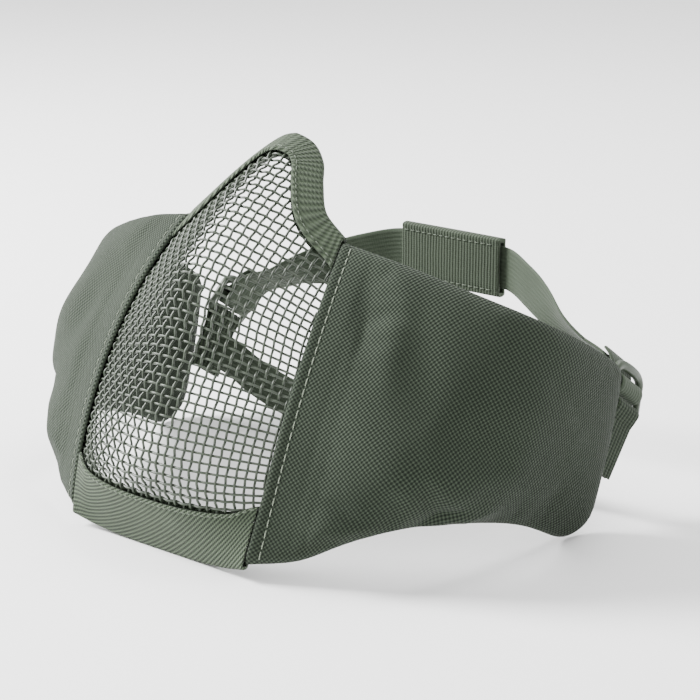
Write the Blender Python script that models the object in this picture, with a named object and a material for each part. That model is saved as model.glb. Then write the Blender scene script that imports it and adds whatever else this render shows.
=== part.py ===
"""Half-face mask: a woven wire panel with webbing bindings, two padded fabric wings, ladder locks and straps.

World frame: +Z up, the wearer looks along -Y, the wearer's left is +X, and X = 0 is the mirror plane. The mask
rests on the fold of its chin binding and on the lower rear lobes of its wings, which touch Z = 0.
Tables are in millimetres, in a design frame that differs from the world frame only by Y_CENTRE and Z_BASE.
"""
import math

import bmesh
import bpy
from mathutils import Vector

MM = 0.001
Y_CENTRE = 76.57
Z_BASE = 0.51

# Shared thicknesses and gaps
MESH_HALF = 0.8                 # half thickness of the woven wire cloth
PLY = 1.0                       # one ply of webbing or wing fabric
GAP = 0.3                       # clearance between touching pieces
FACE = MESH_HALF + GAP          # where a ply begins on either side of the wire cloth
OUTER = FACE + PLY              # outer face of the hems, bindings and wing covers
FOAM = 2.9                      # wing padding

# Wire panel, rows from the chin up: centre line y and z, seam station, flatness of the front
PANEL_ROWS = (
    (2.0, 2.2, 0.00, 3.5),
    (-4.0, 20.6, 0.14, 3.0),
    (-6.5, 31.5, 0.21, 2.2),
    (-3.5, 46.0, 0.31, 1.3),
    (3.0, 60.0, 0.42, 1.2),
    (10.5, 74.0, 0.53, 1.1),
    (16.0, 89.0, 0.65, 1.0),
    (28.0, 103.0, 0.80, 1.0),
    (42.5, 115.0, 1.00, 1.0),
    (57.0, 124.0, 1.20, 1.0),
    (73.0, 131.0, 1.33, 1.0),
)
RIDGE_SOFTNESS = 0.25           # rounding of the ridge, as a share of the half width
SEAM_TOP_ROW = 8.0              # the row where the seam ends and the nose outline begins
CHIN_ROW = 1.0                  # the chin binding covers the rows below this one
PANEL_COLUMNS = 20              # facets across the panel
PANEL_STEPS = 24                # facets up the panel, above the chin binding
CHIN_STEPS = 3                  # facets up the chin binding
# Right half of the nose outline: half width and row, from the top of the seam to the top of the nose
NOSE_OUTLINE = ((34.0, 8.0), (24.5, 8.27), (17.8, 8.8), (12.8, 9.34), (7.0, 9.69), (0.0, 9.81))
NOSE_BINDING_WIDTH = 9.5
TOP_INSET = 0.12                # the panel stops this far, in rows, short of the nose outline
BINDING_END = 0.6               # the bindings stop this far short of the seam

# Middle surface of the left wing: three lines of points from the seam to the rear edge
WING_TOP = ((34, 55, 101), (57, 58, 97), (80, 66, 89.5), (98, 77, 81.5), (102, 99, 69.5), (99, 123.5, 56))
WING_MID = ((41, 22, 60), (63, 28, 53), (85.5, 36.5, 47), (99, 53, 40), (100.5, 86, 34), (98.7, 118.5, 30))
WING_LOW = ((39.9, 0, 5.7), (57, 10, 9), (74.5, 24.5, 19), (87, 47, 19.5), (93, 77, 10.5), (97.5, 106, -6.5))
HEM_START = 0.6                 # the hem begins this far behind the seam line
TAPE_START = 2.6                # and the tape inside begins this far behind it
HEM_WIDTH = 12.0                # wing fabric sewn over the side edge of the wire panel
FOLD_GAP = 3.0                  # soft strip between the panel's edge and the padded wing
WING_SPAN = 80.0                # rough size of a wing, which turns grid steps into lengths
WING_COLUMNS = 14
WING_ROWS = 10
THIN_FOAM = 0.8                 # padding at its thin edge
EDGE_TAPER = 12.0               # the padding thins out over this width
REAR_MARGIN = 12.0              # the padding is thin along the rear edge, where the tab is sewn
LOWER_CORNER = 14.0             # radius of the lower rear corner
UPPER_CORNER = 6.0              # radius of the upper rear corner
REAR_HEIGHT = 51.0              # height of the wing's rear edge

# Webbing tab and ladder lock at the rear of the left wing
TAB_FOOT = (94.3, 118.6, 18.0)
TAB_LENGTH = 24.0
TAB_UP = (0.06, 0.47, 0.88)
LOCK_UP = (-0.25, 0.53, 0.81)
ACROSS = (-0.03, 0.83, -0.55)   # along the lock's bars and across the webbing
STRAP_WIDTH = 16.0
STRAP_PLY = 1.2
LOOP_RADIUS = 2.4               # middle of the tab where it turns round the lock's lower bar
LOCK_HALF = 1.2                 # half thickness of the lock's frame
LOCK_RAILS = (-10.5, -8.3, 8.3, 10.5)
LOCK_BARS = (-1.2, 1.2, 6.2, 8.4, 12.0, 15.0)       # lower bar, middle bar and top bar along the lock

# Strap centre lines in the design frame and, inside the lock, along and out of its frame
UPPER_STRAP = ((0, 158, 71.5), (13, 158, 71.5), (26, 158, 71.4), (39, 152.5, 68.2), (52, 146.6, 63.6), (64, 142.6, 59.2))
STRAP_IN_LOCK = ((24.0, -15.2), (20.5, -9.6), (18.0, -6.6), (15.0, -5.0), (11.5, -4.4), (8.0, -4.2), (5.6, -3.2),
                 (4.3, -1.5), (4.3, 0.3), (5.4, 1.8), (7.3, 2.3), (9.2, 1.8), (10.2, 0.2), (10.8, -1.7),
                 (12.6, -2.6), (15.3, -3.0), (18.0, -4.2), (20.5, -6.2))
LOWER_STRAP = ((0, 127, 9.6), (30, 125.5, 10.2), (52, 122.8, 14), (68, 121, 19.5), (80, 120.6, 25), (91, 121, 27.8))
STRAP_BREAK = 2.5               # step between the strap's two solids, near the lock
HALF_BREAK = 0.3                # half of the step between its halves, on the mirror plane

# Back pad, a flat sleeve that the upper strap runs through
PAD_LENGTH = 46.0
PAD_HEIGHT = 22.5
PAD_Y = 158.0
PAD_EASE = 0.5                  # room for the strap inside the sleeve, beyond the usual gap
PAD_Z = 71.5

MIRROR = Vector((-1.0, 1.0, 1.0))


def smoothstep(value):
    value = min(max(value, 0.0), 1.0)
    return value * value * (3.0 - 2.0 * value)


def through(points, share):
    """Point at a share, 0 to 1, of a smooth curve through evenly spaced points."""
    points = [Vector(p) for p in points]
    last = len(points) - 1
    place = min(max(share, 0.0), 1.0) * last
    index = min(int(place), last - 1)
    t = place - index
    before = points[index - 1] if index > 0 else points[0] * 2 - points[1]
    after = points[index + 2] if index + 2 <= last else points[last] * 2 - points[last - 1]
    start, end = points[index], points[index + 1]
    return 0.5 * (2 * start + (end - before) * t + (2 * before - 5 * start + 4 * end - after) * t ** 2
                  + (3 * start - before - 3 * end + after) * t ** 3)


def between_rows(low, middle, high, v):
    """Quadratic through three points at v = 0, 0.5 and 1."""
    return low * (1 - 2 * v) * (1 - v) + middle * 4 * v * (1 - v) + high * v * (2 * v - 1)


def wing_surface(u, v):
    return between_rows(through(WING_LOW, u), through(WING_MID, u), through(WING_TOP, u), v)


def wing_length(v):
    points = [wing_surface(i / 40, v) for i in range(41)]
    return sum((b - a).length for a, b in zip(points, points[1:]))


def wing_at(distance, v):
    """Point of the wing's middle surface at a distance from the seam, measured along the wing."""
    steps = 60
    travelled = 0.0
    previous = wing_surface(0.0, v)
    for i in range(1, steps + 1):
        point = wing_surface(i / steps, v)
        length = (point - previous).length
        if travelled + length >= distance or i == steps:
            return previous + (point - previous) * ((distance - travelled) / length)
        travelled += length
        previous = point
    return previous


def panel_row(row):
    """Centre line point, seam point and flatness of the wire panel at a row."""
    y, z, station, flatness = through_rows(row)
    return Vector((0, y, z)), wing_surface(0.0, station), flatness


def through_rows(row):
    last = len(PANEL_ROWS) - 1
    place = min(max(row, 0.0), last)
    index = min(int(place), last - 1)
    t = place - index
    values = []
    for column in range(4):
        rows = [r[column] for r in PANEL_ROWS]
        start, end = rows[index], rows[index + 1]
        before = rows[index - 1] if index > 0 else 2 * start - end
        after = rows[index + 2] if index + 2 <= last else 2 * end - start
        values.append(0.5 * (2 * start + (end - before) * t + (2 * before - 5 * start + 4 * end - after) * t ** 2
                             + (3 * start - before - 3 * end + after) * t ** 3))
    return values


def panel_surface(x, row):
    centre, side, flatness = panel_row(row)
    soft = RIDGE_SOFTNESS ** flatness
    share = abs(x) / side.x
    lift = ((share ** 2 + RIDGE_SOFTNESS ** 2) ** (flatness / 2) - soft)
    lift /= (1 + RIDGE_SOFTNESS ** 2) ** (flatness / 2) - soft
    return Vector((x, centre.y + (side.y - centre.y) * lift, centre.z + (side.z - centre.z) * lift))


def nose_edge(share):
    """Outline of the panel over the nose: share runs from -1 at the right seam to 1 at the left seam."""
    outline = [Vector((x, row, 0)) for x, row in NOSE_OUTLINE]
    place = through(outline, 1 - abs(share))
    return math.copysign(place.x, share), place.y


def top_row(share):
    """Row where the panel's column at this share of the half width meets the nose outline."""
    low, high = SEAM_TOP_ROW, NOSE_OUTLINE[-1][1]
    samples = [nose_edge(i / 60) for i in range(61)]
    for row_index in range(81):
        row = low + (high - low) * row_index / 80
        x = share * panel_row(row)[1].x
        edge = max((sample[0] for sample in samples if sample[1] >= row), default=0.0)
        if x >= edge:
            return row
    return high


def normals(grid):
    """Unit normals of a grid of points, towards the viewer for whom lines run right and points run up."""
    rows, columns = len(grid), len(grid[0])
    result = []
    for i in range(rows):
        line = []
        for j in range(columns):
            along = grid[min(i + 1, rows - 1)][j] - grid[max(i - 1, 0)][j]
            across = grid[i][min(j + 1, columns - 1)] - grid[i][max(j - 1, 0)]
            line.append(along.cross(across).normalized())
        result.append(line)
    return result


def offset_grid(grid, height):
    """The grid moved along its normals; height is a number or a function of row and column."""
    sides = normals(grid)
    return [[grid[i][j] + sides[i][j] * (height(i, j) if callable(height) else height)
             for j in range(len(grid[0]))] for i in range(len(grid))]


def mirrored(grid):
    return [[point * MIRROR for point in reversed(line)] for line in grid]


def add_grid(bm, grid):
    return [[bm.verts.new(point) for point in line] for line in grid]


def strip(bm, first, second, closed=False):
    count = len(first)
    for k in range(count if closed else count - 1):
        bm.faces.new((first[k], first[(k + 1) % count], second[(k + 1) % count], second[k]))


def slab(low, high):
    """Closed sheet between two grids of the same size."""
    bm = bmesh.new()
    under, over = add_grid(bm, low), add_grid(bm, high)
    for i in range(len(over) - 1):
        strip(bm, over[i + 1], over[i])
        strip(bm, under[i], under[i + 1])
    for over_edge, under_edge in zip(borders(over), borders(under)):
        strip(bm, under_edge, over_edge)
    return bm


def borders(grid):
    """The four edges of a grid of vertices, in order round the sheet."""
    return (grid[0][::-1], [line[0] for line in grid], grid[-1], [line[-1] for line in grid][::-1])


def tube(rings):
    """Closed solid through rings of points, with a flat cap at each end."""
    bm = bmesh.new()
    loops = [[bm.verts.new(point) for point in ring] for ring in rings]
    for first, second in zip(loops, loops[1:]):
        strip(bm, first, second, closed=True)
    bm.faces.new(loops[0][::-1])
    bm.faces.new(loops[-1])
    return bm


def ribbon(points, widths, width, thickness):
    """Flat strap along a path, with the width direction given at each point."""
    rings = []
    for index, point in enumerate(points):
        ahead = points[min(index + 1, len(points) - 1)] - points[max(index - 1, 0)]
        ahead.normalize()
        side = widths[index] - ahead * widths[index].dot(ahead)
        side = side.normalized() * (width / 2)
        face = ahead.cross(side).normalized() * (thickness / 2)
        rings.append([point - side - face, point + side - face, point + side + face, point - side + face])
    return tube(rings)


def slotted_plate(across, along, half):
    """Flat frame with rails at the ends of across and bars between pairs of along, as points (b, l, n)."""
    bm = bmesh.new()
    columns, rows = len(across), len(along)
    verts = {(i, j, k): bm.verts.new((across[i], along[j], side * half))
             for i in range(columns) for j in range(rows) for k, side in enumerate((-1, 1))}

    def solid(i, j):
        return 0 <= i < columns - 1 and 0 <= j < rows - 1 and (i % 2 == 0 or j % 2 == 0)

    for i in range(columns - 1):
        for j in range(rows - 1):
            if not solid(i, j):
                continue
            corners = ((i, j), (i + 1, j), (i + 1, j + 1), (i, j + 1))
            bm.faces.new([verts[c + (1,)] for c in corners])
            bm.faces.new([verts[c + (0,)] for c in reversed(corners)])
            for start, end, beside in ((0, 1, (i, j - 1)), (1, 2, (i + 1, j)), (2, 3, (i, j + 1)), (3, 0, (i - 1, j))):
                if not solid(*beside):
                    a, b = corners[start], corners[end]
                    bm.faces.new((verts[a + (0,)], verts[b + (0,)], verts[b + (1,)], verts[a + (1,)]))
    loose = [v for v in bm.verts if not v.link_faces]
    bmesh.ops.delete(bm, geom=loose, context="VERTS")
    return bm


def material(name, colour, roughness, metallic=0.0):
    made = bpy.data.materials.new(name)
    made.use_nodes = True
    shader = made.node_tree.nodes["Principled BSDF"]
    shader.inputs["Base Color"].default_value = (*colour, 1.0)
    shader.inputs["Roughness"].default_value = roughness
    shader.inputs["Metallic"].default_value = metallic
    return made


def pivot(name, place, parent=None):
    """Empty on a joint's axis, in world metres."""
    empty = bpy.data.objects.new(name, None)
    empty.empty_display_size = 0.01
    bpy.context.collection.objects.link(empty)
    empty.location = place - (parent.matrix_world.translation if parent else Vector())
    empty.parent = parent
    bpy.context.view_layer.update()
    return empty


def to_world(point):
    return Vector((point.x, point.y - Y_CENTRE, point.z - Z_BASE)) * MM


def finish(name, bm, finish_material, parent, mirror=False):
    """Turn design-frame mesh data into a named object in world metres, under its joint's empty."""
    origin = parent.matrix_world.translation
    for vertex in bm.verts:
        place = vertex.co * MIRROR if mirror else vertex.co
        vertex.co = to_world(place) - origin
    if mirror:
        bmesh.ops.reverse_faces(bm, faces=bm.faces)
    bmesh.ops.triangulate(bm, faces=bm.faces)
    mesh = bpy.data.meshes.new(name)
    bm.to_mesh(mesh)
    bm.free()
    mesh.shade_smooth()
    mesh.set_sharp_from_angle(angle=math.radians(35))
    mesh.materials.append(finish_material)
    made = bpy.data.objects.new(name, mesh)
    bpy.context.collection.objects.link(made)
    made.parent = parent
    return made


def chin_rows():
    return [CHIN_ROW * k / CHIN_STEPS for k in range(CHIN_STEPS + 1)]


def panel_rows(end):
    """Rows of a panel column: those of the chin binding, then even steps up to the end."""
    return chin_rows() + [CHIN_ROW + (end - CHIN_ROW) * k / PANEL_STEPS for k in range(1, PANEL_STEPS + 1)]


def mesh_panel():
    """Pressed wire cloth: columns run up from the chin, with one more column under each hem."""
    grid = []
    for column in range(PANEL_COLUMNS + 1):
        share = 2 * column / PANEL_COLUMNS - 1
        end = top_row(min(abs(share), 1.0)) - TOP_INSET
        grid.append([panel_surface(share * panel_row(row)[1].x, row) for row in panel_rows(end)])
    under_hem = [wing_at(HEM_WIDTH - 0.5, through_rows(row)[2]) for row in panel_rows(SEAM_TOP_ROW - TOP_INSET)]
    grid.append(under_hem)
    grid.insert(0, [point * MIRROR for point in under_hem])
    return slab(offset_grid(grid, -MESH_HALF), offset_grid(grid, MESH_HALF))


def nose_binding():
    """Webbing folded over the panel's nose edge, as a U-shaped section swept along it."""
    stations = 36
    limit = 1 - BINDING_END / 34
    rings = []
    for k in range(stations + 1):
        share = limit * (2 * k / stations - 1)
        x, row = nose_edge(share)
        edge = panel_surface(x, row)
        ahead = panel_surface(*nose_edge(min(share + 0.01, 1))) - panel_surface(*nose_edge(max(share - 0.01, -1)))
        ahead.normalize()
        lateral = panel_surface(x + 0.2, row) - panel_surface(x - 0.2, row)
        upward = panel_surface(x, row + 0.02) - panel_surface(x, row - 0.02)
        normal = lateral.cross(upward).normalized()
        inward = normal.cross(ahead).normalized()
        if inward.dot(upward) > 0:
            inward.negate()
        rings.append(binding_ring(x, row, edge, inward, normal, lateral / 0.4, upward / 0.04))
    return tube(rings[::-1])


def binding_ring(x, row, edge, inward, normal, per_x, per_row):
    """U section of the nose binding, which follows the panel's curved surface away from its edge."""
    steps = 6
    spine = [(edge, normal)]
    for step in range(steps):
        move = inward * (NOSE_BINDING_WIDTH / steps)
        g11, g12, g22 = per_x.dot(per_x), per_x.dot(per_row), per_row.dot(per_row)
        b1, b2 = move.dot(per_x), move.dot(per_row)
        det = g11 * g22 - g12 * g12
        x += (b1 * g22 - b2 * g12) / det
        row += (g11 * b2 - g12 * b1) / det
        per_x = (panel_surface(x + 0.2, row) - panel_surface(x - 0.2, row)) / 0.4
        per_row = (panel_surface(x, row + 0.02) - panel_surface(x, row - 0.02)) / 0.04
        face = per_x.cross(per_row).normalized()
        inward = (inward - face * inward.dot(face)).normalized()
        spine.append((panel_surface(x, row), face))
    return folded_ring(spine, (0, steps // 2, steps))


def chin_binding():
    """Wide webbing folded over the panel's lower edge, as a U-shaped section swept from seam to seam."""
    rings = []
    for k in range(PANEL_COLUMNS + 1):
        share = 2 * k / PANEL_COLUMNS - 1
        column = []
        for row in chin_rows():
            x = share * (panel_row(row)[1].x - BINDING_END)
            per_x = panel_surface(x + 0.2, row) - panel_surface(x - 0.2, row)
            per_row = panel_surface(x, row + 0.02) - panel_surface(x, max(row - 0.02, 0.0))
            column.append((panel_surface(x, row), per_x.cross(per_row).normalized()))
        rings.append(folded_ring(column, list(range(len(column)))))
    return tube(rings)


def folded_ring(spine, picks):
    """Closed U section over a spine of points and normals, whose first point is the panel's edge."""
    edge, normal = spine[0]
    fold = (edge - spine[1][0]).normalized()
    chosen = [spine[index] for index in picks]
    outer = [point + face * OUTER for point, face in reversed(chosen)]
    inner = [point - face * OUTER for point, face in chosen]
    inner_back = [point - face * FACE for point, face in reversed(chosen)]
    outer_back = [point + face * FACE for point, face in chosen]
    bulge = normal * OUTER * 0.7
    turn = [edge + fold * (GAP + PLY) + bulge, edge + fold * (GAP + PLY) - bulge]
    turn_back = [edge + fold * GAP - normal * FACE, edge + fold * GAP + normal * FACE]
    return outer + turn + inner + inner_back + turn_back + outer_back


def hem_grid(start):
    distances = [start + (HEM_WIDTH - start) * k / 3 for k in range(4)]
    return [[wing_at(distance, k / 20) for k in range(21)] for distance in distances]


def corner_inset(from_end, radius):
    """How far a rounded corner pulls the edge in, at a distance from the end."""
    if from_end >= radius:
        return 0.0
    return radius - math.sqrt(radius ** 2 - (radius - from_end) ** 2)


def wing_grid():
    """Wing surface from the fold to the rear edge, with rounded rear corners."""
    start = HEM_WIDTH + FOLD_GAP
    grid = []
    for i in range(WING_COLUMNS + 1):
        part_left = (1 - i / WING_COLUMNS) ** 1.25
        left = part_left * WING_SPAN
        height = REAR_HEIGHT + part_left * 40
        low = corner_inset(left, LOWER_CORNER) / height
        high = 1 - corner_inset(left, UPPER_CORNER) / height
        line = []
        for j in range(WING_ROWS + 1):
            v = low + (high - low) * j / WING_ROWS
            line.append(wing_at(start + (wing_length(v) - start) * (1 - part_left), v))
        grid.append(line)
    return grid


def padding(i, j):
    """Share of the full padding thickness at a node of the wing grid, 0 at the outline and 1 inside."""
    across, up = i / WING_COLUMNS, j / WING_ROWS
    from_rear = (1 - across) * WING_SPAN - REAR_MARGIN
    edge = min(across * WING_SPAN, from_rear, up * WING_SPAN, (1 - up) * WING_SPAN)
    return smoothstep(edge / EDGE_TAPER)


def foam_floor(i, j):
    return FACE - GAP - THIN_FOAM - (FOAM - THIN_FOAM) * padding(i, j)


def lining_face(i, j):
    return foam_floor(i, j) - GAP


def wing_cover():
    grid = wing_grid()
    return slab(offset_grid(grid, FACE), offset_grid(grid, OUTER))


def wing_foam():
    """Padding between the cover and the lining, one grid step inside their outline."""
    grid = wing_grid()
    low, high = offset_grid(grid, foam_floor), offset_grid(grid, FACE - GAP)
    return slab([line[1:-1] for line in low[1:-1]], [line[1:-1] for line in high[1:-1]])


def wing_lining():
    grid = wing_grid()
    return slab(offset_grid(grid, lambda i, j: lining_face(i, j) - PLY), offset_grid(grid, lining_face))


def unit(values):
    return Vector(values).normalized()


def lock_axes():
    across = unit(ACROSS)
    up = Vector(LOCK_UP)
    up = (up - across * up.dot(across)).normalized()
    return across, up, across.cross(up).normalized()


def tab_axes():
    across = unit(ACROSS)
    up = Vector(TAB_UP)
    up = (up - across * up.dot(across)).normalized()
    return across, up, across.cross(up).normalized()


def lock_pivot():
    """Middle of the lock's lower bar, in the design frame."""
    return Vector(TAB_FOOT) + tab_axes()[1] * TAB_LENGTH


def tab():
    """Webbing folded round the lock's lower bar, with both ends sewn to the wing."""
    across, up, out = tab_axes()
    ply = (STRAP_PLY + GAP) / 2
    turn = [(TAB_LENGTH + LOOP_RADIUS * math.sin(a), LOOP_RADIUS * math.cos(a))
            for a in (math.pi * k / 8 for k in range(9))]
    path = [(0, ply), (14, ply), (TAB_LENGTH - 5, ply), (TAB_LENGTH - 2.4, LOOP_RADIUS - 0.5)] + turn
    path += [(TAB_LENGTH - 2.4, -LOOP_RADIUS + 0.5), (TAB_LENGTH - 5, -ply), (14, -ply), (0, -ply)]
    points = [Vector(TAB_FOOT) + up * along + out * height for along, height in path]
    return ribbon(points, [across] * len(points), STRAP_WIDTH, STRAP_PLY)


def ladder_lock():
    across, up, out = lock_axes()
    bm = slotted_plate(LOCK_RAILS, LOCK_BARS, LOCK_HALF)
    for vertex in bm.verts:
        b, along, height = vertex.co
        vertex.co = lock_pivot() + across * b + up * along + out * height
    return bm


def in_lock(along, height):
    across, up, out = lock_axes()
    return lock_pivot() + up * along + out * height


def strap_end():
    """The strap's last stretch: under the frame, over the middle bar, and a short tail under the top bar."""
    points = [in_lock(along, height) for along, height in STRAP_IN_LOCK]
    return ribbon(points, [lock_axes()[0]] * len(points), STRAP_WIDTH, STRAP_PLY)


def upper_strap():
    """Half of the elastic strap, from inside the back pad to where it nears the lock."""
    route = list(UPPER_STRAP) + [tuple(in_lock(*STRAP_IN_LOCK[0]) + strap_gap())]
    start, end = Vector((0, 0, -1)), lock_axes()[0]
    samples = 20
    points = [through(route, k / samples) for k in range(samples + 1)]
    points[0].x = HALF_BREAK
    widths = [start.lerp(end, smoothstep((k / samples - 0.55) / 0.45)) for k in range(samples + 1)]
    return ribbon(points, widths, STRAP_WIDTH, STRAP_PLY)


def strap_gap():
    """Small step back along the strap, where its two solids meet."""
    return (in_lock(*STRAP_IN_LOCK[0]) - in_lock(*STRAP_IN_LOCK[1])).normalized() * STRAP_BREAK


def lower_strap():
    samples = 16
    points = [through(LOWER_STRAP, k / samples) for k in range(samples + 1)]
    points[0].x = HALF_BREAK
    return ribbon(points, [Vector((0, 0, -1))] * len(points), STRAP_WIDTH, STRAP_PLY)


def pad_layer(side):
    """One layer of the back pad: side -1 is towards the head, 1 is the outer one."""
    near = STRAP_PLY / 2 + GAP + PAD_EASE
    low, high = sorted((side * near, side * (near + PLY)))
    xs = [PAD_LENGTH * (k / 4 - 0.5) for k in range(5)]
    zs = (PAD_Z - PAD_HEIGHT / 2, PAD_Z + PAD_HEIGHT / 2)
    under = [[Vector((x, PAD_Y + high, z)) for z in zs] for x in xs]
    over = [[Vector((x, PAD_Y + low, z)) for z in zs] for x in xs]
    return slab(under, over)


def fold_pivot():
    """Middle of the wing's fold line, in the design frame."""
    middle = HEM_WIDTH + FOLD_GAP / 2
    low, centre, high = (wing_at(middle, v) for v in (0.06, 0.5, 0.94))
    return (low + high) / 4 + centre / 2


def main():
    for old in list(bpy.data.objects):
        bpy.data.objects.remove(old, do_unlink=True)
    wire = material("painted_wire", (0.115, 0.14, 0.11), 0.45, 0.6)
    binding = material("binding_webbing", (0.12, 0.155, 0.11), 0.85)
    fabric = material("wing_fabric", (0.062, 0.082, 0.058), 0.85)
    lining = material("lining_fabric", (0.05, 0.065, 0.045), 0.9)
    foam = material("foam", (0.02, 0.02, 0.02), 0.95)
    webbing = material("strap_webbing", (0.10, 0.13, 0.095), 0.85)
    plastic = material("lock_plastic", (0.095, 0.125, 0.09), 0.4)

    front = pivot("front", Vector((0, 0, 0)))
    finish("mesh_panel", mesh_panel(), wire, front)
    finish("nose_binding", nose_binding(), binding, front)
    finish("chin_binding", chin_binding(), binding, front)
    for side, mirror in (("left", False), ("right", True)):
        flip = MIRROR if mirror else Vector((1, 1, 1))
        wing = pivot(side + "_wing_fold", to_world(fold_pivot() * flip), front)
        lock = pivot(side + "_lock_swivel", to_world(lock_pivot() * flip), wing)
        hem, tape = hem_grid(HEM_START), hem_grid(TAPE_START)
        finish(side + "_hem", slab(offset_grid(hem, FACE), offset_grid(hem, OUTER)), fabric, front, mirror)
        finish(side + "_edge_tape", slab(offset_grid(tape, -OUTER), offset_grid(tape, -FACE)), binding, front, mirror)
        finish(side + "_wing_cover", wing_cover(), fabric, wing, mirror)
        finish(side + "_wing_foam", wing_foam(), foam, wing, mirror)
        finish(side + "_wing_lining", wing_lining(), lining, wing, mirror)
        finish(side + "_tab", tab(), webbing, wing, mirror)
        finish(side + "_ladder_lock", ladder_lock(), plastic, lock, mirror)
        finish(side + "_strap_end", strap_end(), webbing, lock, mirror)
        finish(side + "_upper_strap", upper_strap(), webbing, front, mirror)
        finish(side + "_lower_strap", lower_strap(), webbing, front, mirror)
    pad = pivot("pad_slide", to_world(Vector((0, PAD_Y, PAD_Z))), front)
    finish("back_pad_inner", pad_layer(-1), fabric, pad)
    finish("back_pad_outer", pad_layer(1), fabric, pad)


main()
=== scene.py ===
"""Looks of the half-face mesh mask: woven wire, sewn bindings, padded wings, straps, locks and stitching.

Tables are in millimetres, in the design frame of part.py, and world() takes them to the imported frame.
"""
import math

import bmesh
import bpy
import numpy as np
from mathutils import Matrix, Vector

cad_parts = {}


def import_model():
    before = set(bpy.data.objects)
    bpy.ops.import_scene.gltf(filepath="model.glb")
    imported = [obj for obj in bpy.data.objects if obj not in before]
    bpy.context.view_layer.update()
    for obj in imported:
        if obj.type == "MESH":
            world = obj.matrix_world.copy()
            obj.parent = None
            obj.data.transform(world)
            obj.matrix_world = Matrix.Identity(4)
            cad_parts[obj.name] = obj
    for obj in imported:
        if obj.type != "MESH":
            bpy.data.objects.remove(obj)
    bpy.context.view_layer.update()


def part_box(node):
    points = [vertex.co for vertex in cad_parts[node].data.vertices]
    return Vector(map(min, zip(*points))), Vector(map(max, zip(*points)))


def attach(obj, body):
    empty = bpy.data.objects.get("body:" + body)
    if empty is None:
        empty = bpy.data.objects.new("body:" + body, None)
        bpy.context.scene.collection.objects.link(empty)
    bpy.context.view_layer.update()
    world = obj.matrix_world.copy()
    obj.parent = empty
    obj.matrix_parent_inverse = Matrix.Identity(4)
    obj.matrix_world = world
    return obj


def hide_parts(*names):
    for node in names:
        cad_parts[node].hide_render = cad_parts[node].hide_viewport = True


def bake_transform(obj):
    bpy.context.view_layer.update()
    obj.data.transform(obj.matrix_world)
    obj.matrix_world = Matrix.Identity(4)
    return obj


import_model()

MM = 0.001

# Design frame, as in part.py
PANEL_ROWS = np.array((
    (2.0, 2.2, 0.00, 3.5),
    (-4.0, 20.6, 0.14, 3.0),
    (-6.5, 31.5, 0.21, 2.2),
    (-3.5, 46.0, 0.31, 1.3),
    (3.0, 60.0, 0.42, 1.2),
    (10.5, 74.0, 0.53, 1.1),
    (16.0, 89.0, 0.65, 1.0),
    (28.0, 103.0, 0.80, 1.0),
    (42.5, 115.0, 1.00, 1.0),
    (57.0, 124.0, 1.20, 1.0),
    (73.0, 131.0, 1.33, 1.0),
))
RIDGE_SOFTNESS = 0.25
SEAM_TOP_ROW = 8.0
CHIN_ROW = 1.0
NOSE_OUTLINE = np.array((
    (34.0, 8.0), (24.5, 8.27), (17.8, 8.8), (12.8, 9.34), (7.0, 9.69), (0.0, 9.81),
))
WING_TOP = np.array((
    (34, 55, 101), (57, 58, 97), (80, 66, 89.5), (98, 77, 81.5), (102, 99, 69.5), (99, 123.5, 56),
))
WING_MID = np.array((
    (41, 22, 60), (63, 28, 53), (85.5, 36.5, 47), (99, 53, 40), (100.5, 86, 34), (98.7, 118.5, 30),
))
WING_LOW = np.array((
    (39.9, 0, 5.7), (57, 10, 9), (74.5, 24.5, 19), (87, 47, 19.5), (93, 77, 10.5), (97.5, 106, -6.5),
))
PAD_Y, PAD_Z, PAD_LENGTH, PAD_HEIGHT = 158.0, 71.5, 46.0, 22.5
TAB_FOOT = np.array((94.3, 118.6, 18.0))
TAB_LENGTH = 24.0
TAB_UP = np.array((0.06, 0.47, 0.88))
LOCK_UP = np.array((-0.25, 0.53, 0.81))
ACROSS = np.array((-0.03, 0.83, -0.55))
STRAP_WIDTH, STRAP_PLY = 16.0, 1.2
UPPER_STRAP = (
    (0, 158, 71.5), (13, 158, 71.5), (26, 158, 71.4),
    (39, 152.5, 68.2), (52, 146.6, 63.6), (64, 142.6, 59.2),
)
STRAP_IN_LOCK = (
    (24.0, -15.2), (20.5, -9.6), (18.0, -6.6), (15.0, -5.0), (11.5, -4.4), (8.0, -4.2),
    (5.6, -3.2), (4.3, -1.5), (4.3, 0.3), (5.4, 1.8), (7.3, 2.3), (9.2, 1.8),
    (10.2, 0.2), (10.8, -1.7), (12.6, -2.6), (15.3, -3.0), (18.0, -4.2), (20.5, -6.2),
)
LOWER_STRAP = (
    (0, 127, 9.6), (30, 125.5, 10.2), (52, 122.8, 14), (68, 121, 19.5), (80, 120.6, 25), (91, 121, 27.8),
)

# Wire cloth
PITCH = 3.175                   # 8 wires to the inch
WIRE_RADIUS = 0.45
LONG_CRIMP, CROSS_CRIMP = 0.52, 0.34    # how far a wire swings to each side of the sheet
WIRE_SIDES = 6
SAMPLES_PER_CELL = 4

# Sewn edges
FACE, OUTER = 1.1, 2.1          # inner and outer face of a ply over the wire cloth
NOSE_BINDING_WIDTH = 9.5
CHIN_RISE = 0.20                # how much wider the chin tape stands where it meets the seams, as a share
BINDING_END = 0.15
SEAM_TURN = 7.0                 # over this distance both sides of the seam turn to meet each other
HEM_START, TAPE_START, HEM_WIDTH, FOLD_GAP = 0.15, 2.6, 12.0, 3.0
STITCH_INSET = 4.4
STITCH_PITCH, STITCH_LENGTH, THREAD_RADIUS = 3.6, 2.9, 0.2

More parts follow.
